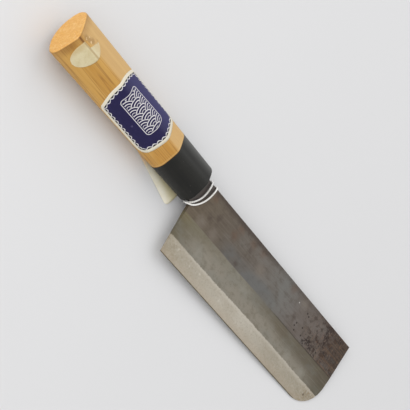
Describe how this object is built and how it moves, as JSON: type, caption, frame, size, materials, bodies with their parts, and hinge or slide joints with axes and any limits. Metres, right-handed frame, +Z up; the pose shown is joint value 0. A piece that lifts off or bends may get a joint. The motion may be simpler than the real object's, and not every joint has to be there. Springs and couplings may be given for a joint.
{
  "type": "vegetable knife",
  "caption": "Nakiri vegetable knife with a laminated straight-edged blade, a D-shaped wooden handle, a black ferrule, paper labels and a white cord round the neck",
  "frame": {"origin": "on the table under the middle of the knife's box, with the knife settled on its left face", "axes": "+X along the knife to the tip, +Y towards the spine, +Z up out of the right face; the settled knife slopes down to the tip and leans down to the edge by a few degrees"},
  "size_m": [0.298, 0.0592, 0.0273],
  "materials": {
    "core_steel": "satin",
    "soft_iron": "satin",
    "pale_wood": "satin",
    "black_ferrule": "satin",
    "resin": "satin",
    "navy_paper": "satin",
    "cream_paper": "matte",
    "white_cord": "matte"
  },
  "bodies": {
    "root": {"blade_core": "core_steel", "cladding_right": "soft_iron", "cladding_left": "soft_iron", "handle": "pale_wood", "ferrule": "black_ferrule", "tang_seal": "resin", "front_label": "navy_paper", "oval_sticker": "cream_paper", "back_label": "cream_paper", "neck_cord": "white_cord", "cord_knot": "white_cord"}
  },
  "joints": []
}
